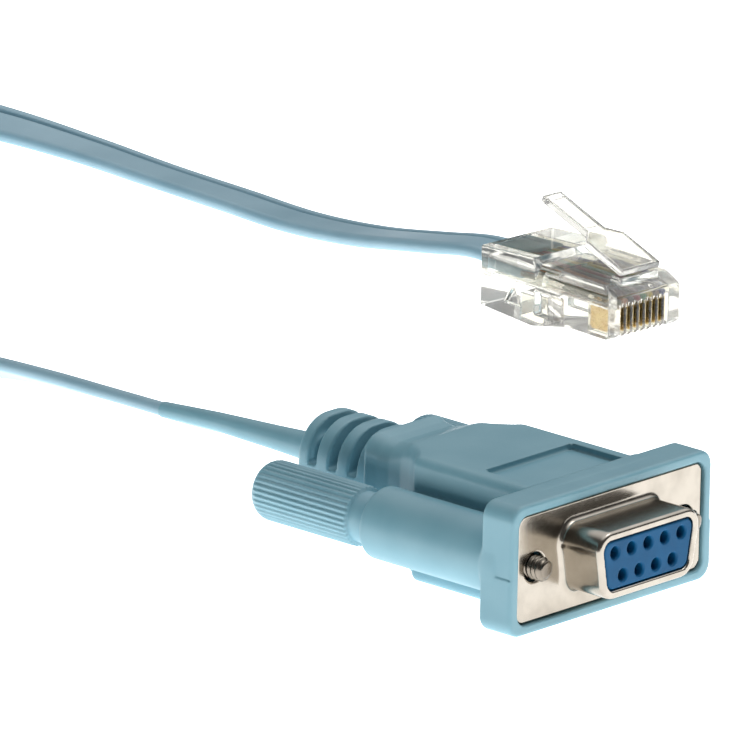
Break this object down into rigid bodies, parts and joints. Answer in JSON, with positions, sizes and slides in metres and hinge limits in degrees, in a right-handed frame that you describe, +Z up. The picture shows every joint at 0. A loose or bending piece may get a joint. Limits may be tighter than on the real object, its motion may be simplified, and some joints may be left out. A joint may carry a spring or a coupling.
{
  "type": "rj45 console cable",
  "caption": "Flat console cable with a moulded D-sub socket connector and thumbscrews at one end, a clear modular plug at the other, and its spare cord coiled.",
  "frame": {"origin": "middle of the D-sub connector's footprint, on the surface it lies on", "axes": "+Z up; the D-sub face mates towards -Y and its cord leaves towards +Y; +X is to the right seen from the mating side"},
  "size_m": [0.1235, 0.2153, 0.0152],
  "materials": {
    "pvc": "light grey-blue moulded PVC",
    "nickel_shell": "nickel-plated stamped steel",
    "screw_steel": "nickel-plated turned steel",
    "blue_resin": "blue thermoplastic polyester, moulded",
    "contact_gold": "gold-flashed contact",
    "clear_resin": "clear polycarbonate, moulded",
    "tie": "woven hook-and-loop tie",
    "wire_grey": "extruded insulation",
    "wire_orange": "extruded insulation",
    "wire_black": "extruded insulation",
    "wire_red": "extruded insulation",
    "wire_green": "extruded insulation",
    "wire_yellow": "extruded insulation",
    "wire_brown": "extruded insulation",
    "wire_blue": "extruded insulation"
  },
  "bodies": {
    "connector_and_cord": {"hood": "pvc", "face_shell": "nickel_shell", "socket_insulator": "blue_resin", "socket_contact_1": "contact_gold", "socket_contact_2": "contact_gold", "socket_contact_3": "contact_gold", "socket_contact_4": "contact_gold", "socket_contact_5": "contact_gold", "socket_contact_6": "contact_gold", "socket_contact_7": "contact_gold", "socket_contact_8": "contact_gold", "socket_contact_9": "contact_gold", "plug_housing": "clear_resin", "contact_blade_1": "contact_gold", "contact_blade_2": "contact_gold", "contact_blade_3": "contact_gold", "contact_blade_4": "contact_gold", "contact_blade_5": "contact_gold", "contact_blade_6": "contact_gold", "contact_blade_7": "contact_gold", "contact_blade_8": "contact_gold", "conductor_1": "wire_grey", "conductor_2": "wire_orange", "conductor_3": "wire_black", "conductor_4": "wire_red", "conductor_5": "wire_green", "conductor_6": "wire_yellow", "conductor_7": "wire_brown", "conductor_8": "wire_blue", "cord_socket_run": "pvc", "cord_plug_run": "pvc", "cord_coil": "pvc", "coil_tie": "tie"},
    "thumbscrew_near": {"thumbscrew_knob_near": "pvc", "jackscrew_near": "screw_steel"},
    "thumbscrew_far": {"thumbscrew_knob_far": "pvc", "jackscrew_far": "screw_steel"},
    "latch": {"plug_latch": "clear_resin"}
  },
  "joints": [
    {"name": "thumbscrew_near_spin", "type": "hinge", "parent": "connector_and_cord", "child": "thumbscrew_near", "pos_m": [-0.01249, 0, 0.0076], "axis": [0, 1, 0], "continuous": true},
    {"name": "thumbscrew_far_spin", "type": "hinge", "parent": "connector_and_cord", "child": "thumbscrew_far", "pos_m": [0.01249, 0, 0.0076], "axis": [0, 1, 0], "continuous": true},
    {"name": "latch_press", "type": "hinge", "parent": "connector_and_cord", "child": "latch", "pos_m": [0.07849, 0.0356, 0.0088], "axis": [-0.9976, 0.0698, 0], "range_deg": [0, 12], "stiffness_Nm_per_rad": 0.3}
  ]
}
